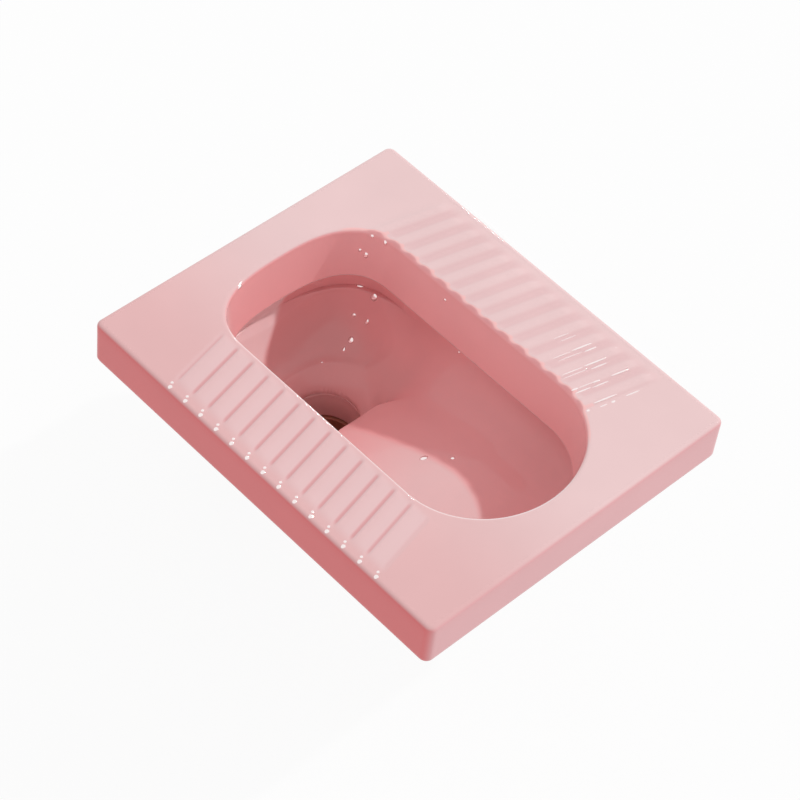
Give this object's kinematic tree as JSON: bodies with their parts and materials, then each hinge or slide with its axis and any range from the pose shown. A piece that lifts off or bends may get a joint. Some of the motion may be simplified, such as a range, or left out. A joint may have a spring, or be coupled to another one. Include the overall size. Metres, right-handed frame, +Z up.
{
  "type": "squat toilet",
  "caption": "Rose ceramic squat toilet pan with ribbed footrests, a flushing rim, a stepped bowl, a flush inlet and a water-seal trap with a pull-out access plug.",
  "frame": {"origin": "middle of the plane that the deck's skirt stands on, where the pan is bedded on the floor", "axes": "+X across the pan, +Y to its deep end with the outlet, +Z up"},
  "size_m": [0.48, 0.635, 0.38],
  "materials": {
    "glaze": "gloss",
    "rubber": "satin",
    "steel": "brushed",
    "pipe": "satin",
    "plug": "satin"
  },
  "bodies": {
    "root": {"deck": "glaze", "rim": "glaze", "bowl": "glaze", "inlet_horn": "glaze", "inlet_cone": "rubber", "clip_band": "steel", "clip_screw": "steel", "trap_bend": "pipe", "trap_elbow": "pipe", "spigot_seal": "rubber"},
    "plug": {"access_plug": "plug", "plug_ring": "rubber"}
  },
  "joints": [
    {"name": "plug_pull", "type": "slide", "parent": "root", "child": "plug", "axis": [1, 0, 0], "range_m": [0, 0.03]}
  ]
}
